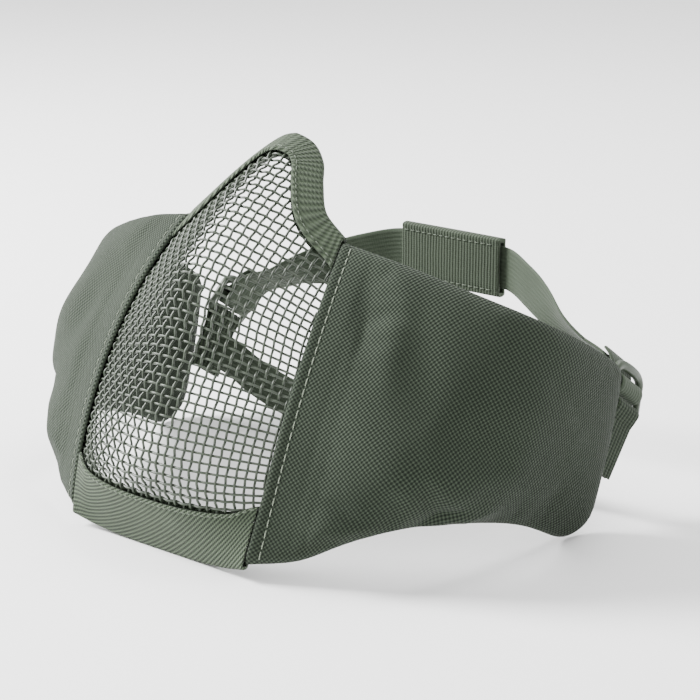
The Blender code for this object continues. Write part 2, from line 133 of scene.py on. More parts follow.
# Wings
WING_SPAN, REAR_HEIGHT, LOWER_CORNER, UPPER_CORNER = 80.0, 51.0, 14.0, 6.0
HEM_COLUMNS, WING_COLUMNS, WING_ROWS = 24, 68, 52
HEM_SHARE = 0.14                # part of the wing's length that the closer columns cover
CORNER_EASE = 10.0              # the wing's bends are averaged over this distance to each side
CLOTH_MOVE = 0.0016             # the most that the cloth run may move a point, in metres

PAD_LOW, PAD_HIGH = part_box("back_pad_inner")[1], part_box("back_pad_outer")[0]
ORIGIN = np.array((
    0.0,
    PAD_Y - (PAD_LOW[1] + PAD_HIGH[1]) / 2 / MM,
    PAD_Z - (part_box("back_pad_inner")[0][2] + PAD_LOW[2]) / 2 / MM,
))
MIRROR = np.array((-1.0, 1.0, 1.0))


def world(points):
    return (np.asarray(points, float) - ORIGIN) * MM


def unit(vectors):
    vectors = np.asarray(vectors, float)
    return vectors / np.maximum(np.linalg.norm(vectors, axis=-1, keepdims=True), 1e-12)


def smoothstep(value):
    value = np.clip(value, 0.0, 1.0)
    return value * value * (3.0 - 2.0 * value)


def through(points, share):
    """Catmull-Rom curve through evenly spaced points, at an array of shares from 0 to 1."""
    points = np.asarray(points, float)
    share = np.asarray(share, float)
    last = len(points) - 1
    place = np.clip(share, 0, 1) * last
    index = np.minimum(place.astype(int), last - 1)
    t = (place - index)[..., None]
    padded = np.vstack((2 * points[0] - points[1], points, 2 * points[-1] - points[-2]))
    before, start, end, after = (padded[index + k] for k in range(4))
    return 0.5 * (2 * start + (end - before) * t + (2 * before - 5 * start + 4 * end - after) * t ** 2
                  + (3 * start - before - 3 * end + after) * t ** 3)


def wing_surface(u, v):
    v = np.asarray(v, float)[..., None]
    low, middle, high = (through(line, u) for line in (WING_LOW, WING_MID, WING_TOP))
    return low * (1 - 2 * v) * (1 - v) + middle * 4 * v * (1 - v) + high * v * (2 * v - 1)


class WingRuler:
    """Turns a distance behind the seam into a place on the wing's middle surface."""

    def __init__(self):
        self.v = np.linspace(0, 1.33, 61)
        u = np.linspace(0, 1, 161)
        self.distance = np.arange(-1.0, 140.0, 0.5)
        rows, self.lengths = [], []
        for v in self.v:
            points = wing_surface(u, np.full_like(u, v))
            length = np.concatenate(([0], np.cumsum(np.linalg.norm(np.diff(points, axis=0), axis=1))))
            rows.append(np.interp(self.distance, length, u))
            self.lengths.append(length[-1])
        self.u = np.array(rows)

    def length(self, v):
        return np.interp(v, self.v, self.lengths)

    def at(self, distance, v):
        i = np.clip((np.asarray(v) - self.v[0]) / (self.v[1] - self.v[0]), 0, len(self.v) - 1.001)
        j = np.clip((np.asarray(distance) - self.distance[0]) / 0.5, 0, len(self.distance) - 1.001)
        i0, j0 = i.astype(int), j.astype(int)
        a, b = i - i0, j - j0
        u = ((self.u[i0, j0] * (1 - b) + self.u[i0, j0 + 1] * b) * (1 - a)
             + (self.u[i0 + 1, j0] * (1 - b) + self.u[i0 + 1, j0 + 1] * b) * a)
        return wing_surface(u, v)

    def normal(self, distance, v):
        along = self.at(distance + 0.6, v) - self.at(np.maximum(distance - 0.6, 0), v)
        up = self.at(distance, v + 0.01) - self.at(distance, v - 0.01)
        return unit(np.cross(along, up))


RULER = WingRuler()


def panel_row(row):
    """Centre point, seam point and flatness at an array of rows."""
    row = np.asarray(row, float)
    values = through(PANEL_ROWS, row / (len(PANEL_ROWS) - 1))
    centre = np.stack((np.zeros_like(row), values[..., 0], values[..., 1]), -1)
    return centre, wing_surface(np.zeros_like(row), values[..., 2]), values[..., 3], values[..., 2]


def panel_surface(x, row):
    centre, side, flatness, _ = panel_row(row)
    soft = RIDGE_SOFTNESS ** flatness
    share = np.abs(x) / side[..., 0]
    lift = (share ** 2 + RIDGE_SOFTNESS ** 2) ** (flatness / 2) - soft
    lift = (lift / ((1 + RIDGE_SOFTNESS ** 2) ** (flatness / 2) - soft))[..., None]
    point = centre + (side - centre) * lift
    point[..., 0] = x
    return point


def panel_slopes(x, row):
    per_x = (panel_surface(x + 0.2, row) - panel_surface(x - 0.2, row)) / 0.4
    low, high = np.maximum(row - 0.02, 0.0), row + 0.02
    per_row = (panel_surface(x, high) - panel_surface(x, low)) / (high - low)[..., None]
    return per_x, per_row


def panel_normal(x, row):
    per_x, per_row = panel_slopes(x, row)
    return unit(np.cross(per_x, per_row))


SEAM_ROWS = np.linspace(0, SEAM_TOP_ROW, 81)
SEAM_STATIONS = panel_row(SEAM_ROWS)[3]
SEAM_NORMALS = unit(panel_normal(panel_row(SEAM_ROWS)[1][:, 0] * 0.995, SEAM_ROWS)
                    + RULER.normal(np.full(81, 1.0), SEAM_STATIONS))


def towards_seam(normals, away, station, mirror):
    """Turns normals near the seam to the direction that the panel's and the wing's edges share."""
    shared = np.stack([np.interp(station, SEAM_STATIONS, SEAM_NORMALS[:, k]) for k in range(3)], -1)
    shared[..., 0] *= mirror
    weight = (1 - smoothstep(away / SEAM_TURN))[..., None]
    return unit(normals * (1 - weight) + shared * weight)


def nose_edge(share):
    """Outline over the nose: share runs from -1 at the right seam to 1 at the left seam."""
    share = np.asarray(share, float)
    place = through(NOSE_OUTLINE, 1 - np.abs(share))
    return np.sign(share) * place[..., 0], place[..., 1]


# ---------------------------------------------------------------- mesh building

class Shape:
    """Vertices, faces and millimetre texture coordinates of one piece."""

    def __init__(self):
        self.points, self.faces, self.uv = [], [], []

    def add(self, points, uv):
        """Adds an array of points, any shape x 3, and returns their numbers in the same shape."""
        points = np.asarray(points, float)
        start = sum(len(block) for block in self.points)
        self.points.append(points.reshape(-1, 3))
        self.uv.append(np.broadcast_to(np.asarray(uv, float), points.shape[:-1] + (2,)).reshape(-1, 2))
        return np.arange(start, start + len(self.points[-1])).reshape(points.shape[:-1])

    def grid(self, numbers, closed=False):
        """Quads over a grid of point numbers; closed joins the last column to the first."""
        if closed:
            numbers = np.concatenate((numbers, numbers[:, :1]), axis=1)
        a, b, c, d = numbers[:-1, :-1], numbers[1:, :-1], numbers[1:, 1:], numbers[:-1, 1:]
        self.faces.extend(np.stack((a, b, c, d), -1).reshape(-1, 4).tolist())

    def cap(self, ring):
        self.faces.append(list(ring))

    def tube(self, rings, uv, cap=True):
        numbers = self.add(rings, uv)
        self.grid(numbers, closed=True)
        if cap:
            self.cap(numbers[0])
            self.cap(numbers[-1][::-1])
        return numbers

    def mirrored(self):
        other = Shape()
        other.points = [points * MIRROR for points in self.points]
        other.uv = [uv * (-1, 1) for uv in self.uv]
        other.faces = [face[::-1] for face in self.faces]
        return other

    def build(self, name, material, slot):
        """Object in world metres, shaded smooth, with its finish; the slot argument is not used."""
        mesh = bpy.data.meshes.new(name)
        mesh.from_pydata(world(np.vstack(self.points)).tolist(), [], self.faces)
        layer = mesh.uv_layers.new(name="millimetres")
        corners = np.zeros(len(mesh.loops), int)
        mesh.loops.foreach_get("vertex_index", corners)
        layer.data.foreach_set("uv", np.vstack(self.uv)[corners].ravel())
        mesh.shade_smooth()
        mesh.materials.append(material)
        made = bpy.data.objects.new(name, mesh)
        bpy.context.collection.objects.link(made)
        return made


def lengths_along(points):
    return np.concatenate(([0], np.cumsum(np.linalg.norm(np.diff(points, axis=0), axis=1))))


def lengths_of_rows(grid):
    """Distance along each row of a grid of points."""
    steps = np.linalg.norm(np.diff(grid, axis=1), axis=2)
    return np.concatenate((np.zeros((len(grid), 1)), np.cumsum(steps, 1)), 1)


def evenly(points, step):
    """The path and any columns that go with it, resampled at even steps."""
    length = lengths_along(points)
    count = max(int(round(length[-1] / step)), 2)
    target = np.linspace(0, length[-1], count + 1)
    return np.stack([np.interp(target, length, points[:, k]) for k in range(points.shape[1])], -1)


def wire(shape, path, normals, phase, crimp):
    """One crimped wire: it swings along the sheet's normals as it passes over and under its neighbours."""
    centre = path + normals * (crimp * np.cos(math.pi * phase))[:, None]
    ahead = unit(np.gradient(centre, axis=0))
    out = unit(normals - ahead * np.sum(normals * ahead, axis=1, keepdims=True))
    side = np.cross(ahead, out)
    turn = np.linspace(0, 2 * math.pi, WIRE_SIDES, endpoint=False)
    rings = centre[:, None] + WIRE_RADIUS * (out[:, None] * np.cos(turn)[None, :, None]
                                             + side[:, None] * np.sin(turn)[None, :, None])
    uv = np.stack(np.broadcast_arrays(lengths_along(centre)[:, None], turn[None]), -1)
    shape.tube(rings[:, ::-1], uv)


def runs(inside):
    """Start and end of each run of True values that is long enough to draw."""
    edges = np.flatnonzero(np.diff(np.concatenate(([0], inside.astype(int), [0]))))
    return [(a, b) for a, b in edges.reshape(-1, 2) if b - a >= 4]


def wire_cloth():
    """Plain-woven wire over the pressed panel, clipped where its edges are sewn in."""
    fine = np.linspace(0, NOSE_OUTLINE[-1][1], 900)
    centre_length = lengths_along(panel_row(fine)[0])
    shares = np.linspace(0, 1, 81)
    x_edge = panel_row(fine)[1][:, 0]
    sections = panel_surface(shares[None] * x_edge[:, None], np.repeat(fine[:, None], len(shares), 1))
    across = lengths_of_rows(sections)
    edge_x, edge_row = nose_edge(np.linspace(0, 1, 200))
    limit = np.where(fine < SEAM_TOP_ROW, np.inf, np.interp(fine, edge_row[::-1], edge_x[::-1]))
    shape = Shape()
    columns = int(across[:, -1].max() / PITCH)
    for column in range(-columns, columns + 1):
        target = abs(column) * PITCH
        samples = np.arange(0.1, centre_length[-1], PITCH / SAMPLES_PER_CELL)
        rows = np.interp(samples, centre_length, fine)
        picks = np.interp(rows, fine, np.arange(len(fine))).astype(int)
        share = np.array([np.interp(target, across[k], shares, right=2.0) for k in picks])
        x = share * x_edge[picks]
        inside = (share < 1.0) & (x < limit[picks] - 0.2) & (rows > 0.05)
        for start, end in runs(inside):
            row, place = rows[start:end], math.copysign(1, column) * x[start:end]
            phase = samples[start:end] / PITCH - 0.5 + column
            wire(shape, panel_surface(place, row), panel_normal(place, row), phase, LONG_CRIMP)
    for index in range(int(centre_length[-1] / PITCH)):
        row = np.interp((index + 0.5) * PITCH, centre_length, fine)
        pick = int(np.interp(row, fine, np.arange(len(fine))))
        reach = across[pick, -1]
        steps = math.floor(reach / PITCH * SAMPLES_PER_CELL)
        s = np.arange(-steps, steps + 1) * PITCH / SAMPLES_PER_CELL
        x = np.sign(s) * np.interp(np.abs(s), across[pick], shares) * x_edge[pick]
        for start, end in runs(np.abs(x) < limit[pick] - 0.2):
            place = x[start:end]
            rows_here = np.full(len(place), row)
            path, normals = panel_surface(place, rows_here), panel_normal(place, rows_here)
            phase = s[start:end] / PITCH + index + 1
            if row < SEAM_TOP_ROW and end - start == len(x):
                path, normals, phase = under_hem(path, normals, phase, row)
            wire(shape, path, normals, phase, CROSS_CRIMP)
    return shape


def under_hem(path, normals, phase, row):
    """Carries a cross wire on under both hems, along the wing's surface."""
    station = panel_row(np.array([row]))[3][0]
    steps = np.arange(1, 7) / SAMPLES_PER_CELL
    distance, v = steps * PITCH, np.full(len(steps), station)
    points, sides = RULER.at(distance, v), RULER.normal(distance, v)
    path = np.vstack((points[::-1] * MIRROR, path, points))
    normals = np.vstack((sides[::-1] * MIRROR, normals, sides))
    return path, normals, np.concatenate((phase[0] - steps[::-1], phase, phase[-1] + steps))


def fold_profile(width, ribs, relief):
    """Closed outline of a folded tape, as (inward, out) pairs and millimetres along it."""
    inward = np.linspace(width, 0.0, max(int(width / 0.4), 8))
    ripple = relief * np.cos(2 * math.pi * inward * ribs / width)
    selvedge = 0.24 * np.exp(-((width - inward - 0.75) / 0.45) ** 2)
    face = OUTER - 0.22 + ripple + selvedge
    face[:2] -= (0.5, 0.14)
    turn = np.linspace(0.15, math.pi - 0.15, 9)
    fold = np.stack((-1.25 * np.sin(turn) - 0.45, (OUTER - 0.25) * np.cos(turn)), -1)
    back = np.stack((inward[::-1], -face[::-1]), -1)
    half_slot = np.array(((width, FACE), (width / 2, FACE), (0, FACE), (-0.5, FACE * 0.7)))
    inner = np.vstack((half_slot * (1, -1), half_slot[::-1]))
    outline = np.vstack((np.stack((inward, face), -1), fold, back, inner))
    return outline, lengths_along(outline)


def folded_tape(spine, normals, fold, distances, width, ribs=0, relief=0.0):
    """Sweeps a folded tape along an edge.

    Spine and normals are grids of [station, inward step]; distances are the millimetres of each step.
    """
    outline, across = fold_profile(width, ribs, relief)
    along = lengths_along(spine[:, 0])
    rings = []
    for station in range(len(spine)):
        inward = np.clip(outline[:, 0], 0, distances[-1])
        at = np.stack([np.interp(inward, distances, spine[station][:, k]) for k in range(3)], -1)
        side = np.stack([np.interp(inward, distances, normals[station][:, k]) for k in range(3)], -1)
        at = at - fold[station] * np.minimum(outline[:, :1], 0)
        rings.append(at + unit(side) * outline[:, 1:])
    shape = Shape()
    uv = np.stack(np.broadcast_arrays(along[:, None], across[None]), -1)
    shape.tube(np.array(rings), uv)
    return shape


def march_inward(x, row, inward, step, count):
    """Walks from points of the panel's edge into the panel, keeping to its surface."""
    spine, sides = [], []
    stride = np.linalg.norm(inward, axis=-1, keepdims=True)
    per_x, per_row = panel_slopes(x, row)
    for _ in range(count + 1):
        face = unit(np.cross(per_x, per_row))
        spine.append(panel_surface(x, row))
        _, side, _, station = panel_row(np.minimum(row, SEAM_TOP_ROW))
        sides.append(towards_seam(face, side[..., 0] - np.abs(x), station, np.sign(x)))
        inward = stride * unit(inward - face * np.sum(inward * face, -1, keepdims=True))
        g11, g12, g22 = np.sum(per_x ** 2, -1), np.sum(per_x * per_row, -1), np.sum(per_row ** 2, -1)
        b1, b2 = step * np.sum(inward * per_x, -1), step * np.sum(inward * per_row, -1)
        det = g11 * g22 - g12 ** 2
        x, row = x + (b1 * g22 - b2 * g12) / det, row + (g11 * b2 - g12 * b1) / det
        per_x, per_row = panel_slopes(x, row)
    return np.stack(spine, 1), np.stack(sides, 1)


def nose_path(count):
    """Places along the nose edge, with the directions square to it and along the tape's width."""
    limit = 1 - BINDING_END / NOSE_OUTLINE[0][0]
    share = np.linspace(limit, -limit, count)
    x, row = nose_edge(share)
    edge = panel_surface(x, row)
    ahead = unit(np.gradient(edge, axis=0))
    per_x, per_row = panel_slopes(x, row)
    inward = unit(np.cross(np.cross(per_x, per_row), ahead))
    inward[np.sum(inward * per_row, 1) > 0] *= -1
    return x, row, inward, leaning(edge, ahead, inward)


def leaning(edge, ahead, inward):
    """Leans the first and last inward directions over, so that the tape's ends lie along the seam."""
    fine = np.array((SEAM_TOP_ROW - 1.0, SEAM_TOP_ROW))
    seam = unit(panel_row(fine)[1][0] - panel_row(fine)[1][1])
    along = lengths_along(edge)
    lean = np.zeros(len(edge))
    for end, flip, away in ((0, np.ones(3), along), (-1, MIRROR, along[-1] - along)):
        slope = (seam * flip) @ ahead[end] / ((seam * flip) @ inward[end])
        lean += slope * (1 - smoothstep(away / 16.0))
    return inward + ahead * lean[:, None]


def nose_binding():
    x, row, square, inward = nose_path(150)
    spine, normals = march_inward(x, row, inward, NOSE_BINDING_WIDTH / 12, 12)
    distances = np.linspace(0, NOSE_BINDING_WIDTH, 13)
    tape = folded_tape(spine, normals, -square, distances, NOSE_BINDING_WIDTH, 7, 0.05)
    return tape, spine, normals


def chin_binding():
    rows = np.linspace(0, CHIN_ROW, 17)
    share = np.linspace(-1, 1, 130)
    rise = 1 + CHIN_RISE * smoothstep((np.abs(share) - 0.72) / 0.28) ** 2
    row = rows[None] * rise[:, None]
    x = share[:, None] * (panel_row(row)[1][..., 0] - BINDING_END)
    station, edge_x = panel_row(row)[3], panel_row(row)[1][..., 0]
    spine = panel_surface(x, row)
    normals = towards_seam(panel_normal(x, row), edge_x - np.abs(x), station, np.sign(x))
    distances = lengths_along(spine[len(share) // 2])
    fold = unit(spine[:, 0] - spine[:, 1])
    return folded_tape(spine, normals, fold, distances, distances[-1]), spine, normals


# ---------------------------------------------------------------- wings

def corner_inset(from_end, radius):
    inside = np.clip(radius - from_end, 0, radius)
    return radius - np.sqrt(radius ** 2 - inside ** 2)


def wing_places(columns):
    """Distance behind the seam and height share of each node, with the rounded rear corners."""
    near = np.linspace(0, HEM_SHARE, HEM_COLUMNS + 1)[:-1]
    part_left = 1 - np.concatenate((near, np.linspace(HEM_SHARE, 1, columns - HEM_COLUMNS + 1)))
    left = part_left * (WING_SPAN + HEM_WIDTH + FOLD_GAP)
    height = REAR_HEIGHT + part_left * 45
    low = corner_inset(left, LOWER_CORNER) / height
    high = 1 - corner_inset(left, UPPER_CORNER) / height
    share = np.linspace(0, 1, WING_ROWS + 1)
    v = low[:, None] + (high - low)[:, None] * share[None]
    distance = HEM_START + (RULER.length(v) - HEM_START) * (1 - part_left[:, None])
    return distance, v, left, share


FOLD_DEPTH = 1.75
FOLDS = {
    # soft dents and creases: start and end as (distance, height share), then half width and depth, where
    # a negative depth goes inwards
    "left": (
        ((15, 0.88), (22, 0.66), 4.0, -0.9),
        ((26, 0.92), (30, 0.64), 4.5, 0.8),
        ((36, 0.84), (44, 0.60), 6.0, -0.7),
        ((30, 0.62), (98, 0.50), 12.0, -1.1),
        ((24, 0.40), (62, 0.30), 9.0, 0.9),
        ((46, 0.42), (58, 0.16), 3.6, -0.9),
        ((54, 0.02), (66, 0.24), 3.0, -1.1),
        ((62, 0.04), (78, 0.22), 4.5, 0.8),
        ((78, 0.30), (100, 0.14), 7.0, -0.8),
        ((16, 0.14), (40, 0.05), 5.0, 0.7),
        ((84, 0.84), (104, 0.66), 3.2, -0.5),
        ((90, 0.78), (108, 0.60), 3.2, 0.5),
    ),
    "right": (
        ((22, 0.74), (40, 0.52), 9.0, -1.2),
        ((30, 0.36), (80, 0.22), 8.0, -1.4),
        ((56, 0.08), (72, 0.30), 3.4, -0.9),
        ((44, 0.70), (90, 0.58), 10.0, 1.2),
        ((74, 0.80), (100, 0.60), 4.5, -0.7),
        ((18, 0.16), (44, 0.08), 5.0, 0.8),
    ),
}


def fold_relief(distance, v, side):
    relief = np.zeros_like(distance)
    height = 80.0
    for (start_d, start_v), (end_d, end_v), half_width, depth in FOLDS[side]:
        axis = np.array((end_d - start_d, (end_v - start_v) * height))
        offset = np.stack((distance - start_d, (v - start_v) * height), -1)
        along = np.clip(offset @ axis / (axis @ axis), 0, 1)
        away = np.linalg.norm(offset - along[..., None] * axis, axis=-1)
        fade = 0.55 + 0.45 * np.sin(math.pi * along)
        relief += FOLD_DEPTH * depth * np.exp(-(away / half_width) ** 2) * fade
    return relief


def wing_shell(side):
    """Hem, cover, padding and lining of one wing as one closed form with a slot for the wire cloth."""
    distance, v, left, share = wing_places(WING_COLUMNS)
    ease = CORNER_EASE * smoothstep((distance - 14) / 14) * smoothstep(left[:, None] / 16)
    base = sum(RULER.at(distance + k * ease, v) for k in (-1, -0.5, 0, 0.5, 1)) / 5
    normal = towards_seam(RULER.normal(distance, v), distance, v, 1.0)
    up = lengths_of_rows(base)
    from_edge = np.minimum(np.minimum(up, up[:, -1:] - up), left[:, None] * 1.15)
    rounding = np.sqrt(1 - (1 - np.clip(from_edge / 2.6, 0, 1)) ** 2)
    swell = smoothstep((distance - HEM_WIDTH) / 12.0) * smoothstep(from_edge / 12.0)
    rear = smoothstep((left[:, None] - 10.0) / 14.0)
    folds = fold_relief(distance, v, side) * smoothstep(from_edge / 6.0)
    outside = 0.5 + (OUTER - 0.5) * rounding + 0.3 * swell + folds
    edge = distance - HEM_START
    bead = 0.34 * np.exp(-((edge - 1.5) / 1.3) ** 2) - 0.55 * np.exp(-(edge / 0.5) ** 2)
    hem_dip = 0.26 * np.exp(-((edge - STITCH_INSET) / 0.8) ** 2)
    outside = outside + bead - hem_dip - 0.12 * np.exp(-((distance - 13.5) / 1.6) ** 2)
    inside = -0.5 - (OUTER - 0.5) * rounding - 1.9 * swell * rear
    inside = inside + 0.5 * np.exp(-((distance - 13.5) / 1.6) ** 2)
    slot = int(np.searchsorted(distance[:, 0], 9.5))
    shape = Shape()
    uv = np.stack((distance, up - up[:, -1:] / 2), -1)
    outer = shape.add(base + normal * outside[..., None], uv)
    tape = np.maximum(distance, TAPE_START + 0.3 * (distance - HEM_START))
    tape_base = RULER.at(tape, v)
    inner = shape.add(tape_base + normal * inside[..., None], uv)
    pinch = np.full((1, len(share), 1), FACE)
    pinch[:, (0, -1)] = 0.12
    slot_outer = shape.add((base + normal * pinch)[:slot + 1], uv[:slot + 1])
    slot_inner = shape.add((tape_base - normal * pinch)[:slot + 1], uv[:slot + 1])
    shape.grid(outer)
    shape.lined = (len(shape.faces), len(shape.faces) + (inner.shape[0] - 1) * (inner.shape[1] - 1))
    shape.grid(inner[:, ::-1])
    shape.grid(slot_outer[:, ::-1])
    shape.grid(slot_inner)
    shape.grid(np.stack((slot_outer[0], outer[0])))
    shape.grid(np.stack((inner[0], slot_inner[0])))
    shape.grid(np.stack((slot_inner[slot], slot_outer[slot])))
    shape.grid(np.stack((outer[-1], inner[-1])))
    for row, turn in ((0, 1), (-1, -1)):
        top, bottom, upper, lower = outer[:, row], inner[:, row], slot_outer[:, row], slot_inner[:, row]
        for i in range(slot):
            shape.faces.append([top[i], upper[i], upper[i + 1], top[i + 1]][::turn])
            shape.faces.append([lower[i], bottom[i], bottom[i + 1], lower[i + 1]][::turn])
        closing = [top[slot], upper[slot], lower[slot], bottom[slot], bottom[slot + 1], top[slot + 1]]
        shape.faces.append(closing[::turn])
        for i in range(slot + 1, WING_COLUMNS):
            shape.faces.append([top[i], bottom[i], bottom[i + 1], top[i + 1]][::turn])
    free = smoothstep((distance - 15.0) / 6.0) * smoothstep(from_edge / 4.0)
    weights = np.zeros(sum(len(block) for block in shape.points))
    weights[outer.ravel()] = free.ravel()
    weights[inner.ravel()] = free.ravel()
    return shape, weights


def relax_as_cloth(made, free, pressure, cap):
    """Cloth simulation with the sewn parts pinned. It is applied, and no point moves past the cap."""
    before = np.array([v.co for v in made.data.vertices])
    scale = 10.0
    copy = bpy.data.objects.new("cloth_run", made.data.copy())
    bpy.context.collection.objects.link(copy)
    copy.data.transform(((scale, 0, 0, 0), (0, scale, 0, 0), (0, 0, scale, 0), (0, 0, 0, 1)))
    pins = copy.vertex_groups.new(name="pins")
    for index, value in enumerate(free):
        pins.add([index], float(1 - value), "REPLACE")
    cloth = copy.modifiers.new("cloth", "CLOTH")
    settings = cloth.settings
    settings.quality = 5
    settings.mass = 0.4
    settings.tension_stiffness = settings.compression_stiffness = 12
    settings.shear_stiffness = 6
    settings.bending_stiffness = 0.6
    settings.vertex_group_mass = "pins"
    settings.use_pressure = True
    settings.uniform_pressure_force = pressure
    settings.shrink_min = settings.shrink_max = -0.02
    settings.effector_weights.gravity = 0
    cloth.collision_settings.use_collision = False
    cloth.point_cache.frame_start, cloth.point_cache.frame_end = 1, 20
    for step in range(1, 21):
        bpy.context.scene.frame_set(step)
    graph = bpy.context.evaluated_depsgraph_get()
    after = np.array([v.co for v in copy.evaluated_get(graph).data.vertices]) / scale
    bpy.context.scene.frame_set(1)
    bpy.data.objects.remove(copy, do_unlink=True)
    move = after - before
    size = np.linalg.norm(move, axis=1, keepdims=True)
    move *= np.tanh(size / cap) * cap / np.maximum(size, 1e-9)
    made.data.vertices.foreach_set("co", (before + move * free[:, None]).ravel())
    made.data.update()


def apply_modifier(made, kind, **values):
    modifier = made.modifiers.new(kind.lower(), kind)
    for key, value in values.items():
        setattr(modifier, key, value)
    graph = bpy.context.evaluated_depsgraph_get()
    final = bpy.data.meshes.new_from_object(made.evaluated_get(graph))
    made.modifiers.clear()
    made.data = final


# ---------------------------------------------------------------- stitches, straps and locks

def stitches(path, normals, pitch=STITCH_PITCH, length=STITCH_LENGTH, radius=THREAD_RADIUS, lift=0.12):
    """Row of thread stitches along a path on a surface; each one dives in at both ends."""
    shape = Shape()
    at = lengths_along(path)
    turn = np.linspace(0, 2 * math.pi, 6, endpoint=False)
    bow = np.linspace(0, 1, 7)
    for k in range(int(at[-1] / pitch)):
        start = (k + 0.5) * pitch - length / 2
        place = start + bow * length
        centre = np.stack([np.interp(place, at, path[:, c]) for c in range(3)], -1)
        out = unit(np.stack([np.interp(place, at, normals[:, c]) for c in range(3)], -1))
        height = lift * np.sin(math.pi * bow) - radius * 1.3 * (np.abs(2 * bow - 1) ** 6)
        centre = centre + out * height[:, None]
        side = unit(np.cross(unit(np.gradient(centre, axis=0)), out))
        thick = radius * (0.75 + 0.25 * np.sin(math.pi * bow))[:, None, None]
        rings = centre[:, None] + thick * (out[:, None] * np.cos(turn)[None, :, None]
                                           + side[:, None] * np.sin(turn)[None, :, None])
        shape.tube(rings, np.stack(np.broadcast_arrays(place[:, None], turn[None]), -1))
    return shape


def ribbon(points, across, width, thickness, ribs, relief, step=0.8, start=None, end=None):
    """Woven strap along a path, ribbed on both faces; start and end may fix the end directions."""
    joined = evenly(np.hstack((np.asarray(points, float), np.asarray(across, float))), step)
    points, across = joined[:, :3], joined[:, 3:]
    ahead = np.gradient(points, axis=0)
    ahead[0] = ahead[0] if start is None else start
    ahead[-1] = ahead[-1] if end is None else end
    ahead = unit(ahead)
    side = unit(across - ahead * np.sum(across * ahead, 1, keepdims=True))
    out = np.cross(ahead, side)
    b = np.linspace(-1, 1, ribs * 4 + 1)
    roundness = np.sqrt(np.clip(1 - np.abs(b) ** 14, 0, 1))
    face = (thickness / 2 - relief + relief * np.cos(math.pi * ribs * (b + 1))) * (0.35 + 0.65 * roundness)
    upper_face = np.stack((b * width / 2, face), -1)
    outline = np.vstack((upper_face, (upper_face * (1, -1))[::-1]))
    rings = points[:, None] + side[:, None] * outline[None, :, :1] + out[:, None] * outline[None, :, 1:]
    uv = np.stack(np.broadcast_arrays(lengths_along(points)[:, None], outline[None, :, 0]), -1)
    shape = Shape()
    shape.tube(rings[:, ::-1], uv[:, ::-1])
    return shape


def axes_for(up):
    across = unit(ACROSS)
    up = unit(up - across * (up @ across))
    return across, up, np.cross(across, up)


def lock_pivot():
    return TAB_FOOT + axes_for(TAB_UP)[1] * TAB_LENGTH


def in_lock(places):
    across, up, out = axes_for(LOCK_UP)
    places = np.asarray(places, float)
    return lock_pivot() + places[:, :1] * up + places[:, 1:2] * out


def tab():
    across, up, out = axes_for(TAB_UP)
    ply, radius = (STRAP_PLY + 0.3) / 2, 2.0
    turn = np.linspace(0, math.pi, 15)
    loop = np.stack((TAB_LENGTH + radius * np.sin(turn), radius * np.cos(turn)), -1)
    neck = np.array(((TAB_LENGTH - 2.4, radius - 0.5), (TAB_LENGTH - 5, ply), (14, ply), (0, ply)))
    path = np.vstack((neck[::-1], loop, neck * (1, -1)))
    points = TAB_FOOT + path[:, :1] * up + path[:, 1:] * out
    return ribbon(points, np.repeat(across[None], len(points), 0), STRAP_WIDTH, STRAP_PLY, 8, 0.16, 0.6)


def junction():
    """Where the head strap and the strap in the lock meet, and their shared direction."""
    first, second = in_lock(STRAP_IN_LOCK[:2])
    return first, second - first


def strap_in_lock():
    fine = through(STRAP_IN_LOCK, np.linspace(0, 1, 120))
    points = in_lock(fine)
    across = np.repeat(axes_for(LOCK_UP)[0][None], len(points), 0)
    return ribbon(points, across, STRAP_WIDTH, STRAP_PLY, 10, 0.03, 0.5, start=junction()[1])


def upper_strap():
    route = list(UPPER_STRAP) + [tuple(in_lock(STRAP_IN_LOCK[:1])[0])]
    share = np.linspace(0, 1, 80)
    points = through(route, share)
    turn = smoothstep((share - 0.55) / 0.45)[:, None]
    across = np.array((0, 0, -1.0)) * (1 - turn) + axes_for(LOCK_UP)[0] * turn
    return ribbon(points, across, STRAP_WIDTH, STRAP_PLY, 10, 0.06, start=(1, 0, 0), end=junction()[1])


def lower_strap():
    points = through(LOWER_STRAP, np.linspace(0, 1, 60))
    across = np.repeat(((0, 0, -1.0),), len(points), 0)
    return ribbon(points, across, STRAP_WIDTH, STRAP_PLY, 10, 0.06, start=(1, 0, 0))


def sweep(bm, path, half_across, half_out, out, closed=False):
    """Oval tube along a path; the section lies in the plane of the path's side and its out direction."""
    if closed:
        ahead = unit(np.roll(path, -1, 0) - np.roll(path, 1, 0))
    else:
        ahead = unit(np.gradient(path, axis=0))
    out = unit(out[None] - ahead * (ahead @ out)[:, None])
    side = np.cross(ahead, out)
    turn = np.linspace(0, 2 * math.pi, 18, endpoint=False)
    rings = (path[:, None] + side[:, None] * half_across[:, None, None] * np.cos(turn)[None, :, None]
             + out[:, None] * half_out[:, None, None] * np.sin(turn)[None, :, None])
    verts = [[bm.verts.new(p) for p in world(ring)] for ring in rings]
    following = verts[1:] + verts[:1] if closed else verts[1:]
    for first, second in zip(verts, following):
        for k in range(18):
            bm.faces.new((first[k], first[(k + 1) % 18], second[(k + 1) % 18], second[k]))
    if not closed:
        bm.faces.new(verts[0][::-1])
        bm.faces.new(verts[-1])


